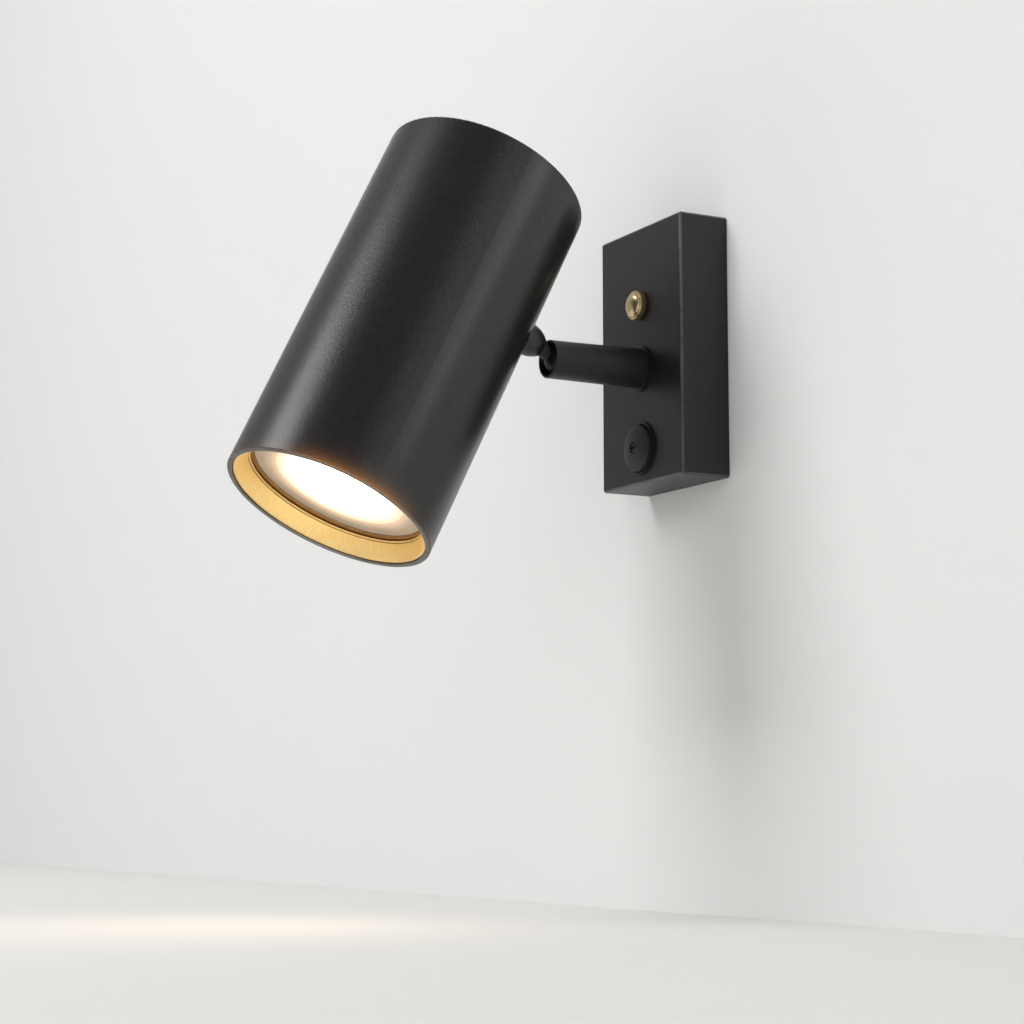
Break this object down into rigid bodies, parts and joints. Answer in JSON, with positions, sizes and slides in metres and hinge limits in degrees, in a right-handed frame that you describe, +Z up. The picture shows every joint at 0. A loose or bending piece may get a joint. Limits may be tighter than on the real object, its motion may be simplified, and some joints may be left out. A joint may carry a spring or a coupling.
{
  "type": "pivoting spotlight wall light",
  "caption": "Slim rectangular wall base with a domed cap nut and push button, short round arm ending in a ball joint, and a tall cylindrical shade with a gold lined mouth.",
  "frame": {"origin": "centre of the base's back face, on the wall", "axes": "+Z up, +Y into the wall, +X to the right for someone who faces the wall"},
  "size_m": [0.0667, 0.1436, 0.1266],
  "materials": {
    "shade_black": "satin black powder coat",
    "cover_black": "matt black powder coat",
    "arm_black": "matt black powder coat",
    "button_black": "matt black moulding",
    "bezel_black": "matt black",
    "ball_black": "blackened brass",
    "brass": "polished brass, slightly aged",
    "inner_brass": "plain turned brass",
    "gold": "gold anodised, finely brushed",
    "zinc_steel": "zinc plated",
    "black_steel": "blackened",
    "white_nylon": "natural nylon",
    "switch_plastic": "black moulding",
    "ceramic": "white steatite",
    "lamp_shell": "satin grey",
    "lamp_diffuser": "frosted, lit",
    "grey_rubber": "grey rubber",
    "fibre": "red fibre",
    "lead_insulation": "silicone insulation"
  },
  "bodies": {
    "base": {"wall_bracket": "zinc_steel", "base_cover": "cover_black", "cable_bush": "grey_rubber", "earth_screw": "zinc_steel", "earth_washer": "zinc_steel", "bracket_stud": "zinc_steel", "nut_washer": "fibre", "cap_nut": "brass", "terminal_block": "white_nylon", "terminal_screws": "inner_brass", "base_leads": "lead_insulation", "arm_collar": "cover_black", "collar_nut": "zinc_steel", "stop_pin": "zinc_steel", "switch_housing": "switch_plastic", "switch_screws": "zinc_steel", "switch_contacts": "inner_brass", "button_bezel": "bezel_black", "button_spring": "zinc_steel"},
    "arm": {"arm_tube": "arm_black", "arm_nipple": "inner_brass", "friction_washer": "fibre", "stop_washer": "zinc_steel", "wave_washer": "zinc_steel", "arm_nut": "zinc_steel", "ball_seat": "white_nylon", "disc_springs": "zinc_steel", "seat_plug": "zinc_steel", "arm_leads": "lead_insulation"},
    "ball": {"ball_stem": "ball_black", "stem_washer": "zinc_steel", "spring_washer": "zinc_steel", "stem_nut": "inner_brass"},
    "head": {"neck_dome": "shade_black", "saddle_pad": "zinc_steel", "holder_bracket": "zinc_steel", "head_leads": "lead_insulation", "shade": "shade_black", "gold_ring": "gold", "lamp_body": "lamp_shell", "lamp_lens": "lamp_diffuser", "lamp_pins": "inner_brass", "lampholder": "ceramic", "holder_screws": "zinc_steel"},
    "button": {"button_cap": "button_black", "button_screw": "black_steel", "button_plunger": "white_nylon", "plunger_clip": "zinc_steel"}
  },
  "joints": [
    {"name": "arm_swivel", "type": "hinge", "parent": "base", "child": "arm", "pos_m": [0, -0.016, -0.0042], "axis": [0, -1, 0], "range_deg": [-169, 161]},
    {"name": "head_tilt", "type": "hinge", "parent": "arm", "child": "ball", "pos_m": [0, -0.0437, -0.0042], "axis": [0.9976, 0, 0.0698], "range_deg": [-2.7, 57.3]},
    {"name": "head_turn", "type": "hinge", "parent": "ball", "child": "head", "pos_m": [0, -0.0437, -0.0042], "axis": [-0.032, -0.8886, 0.4575], "range_deg": [-170, 170]},
    {"name": "button_press", "type": "slide", "parent": "base", "child": "button", "axis": [0, 1, 0], "range_m": [0, 0.0015], "stiffness_N_per_m": 1000, "springref_m": -0.002, "deforming": ["button_spring"]}
  ]
}
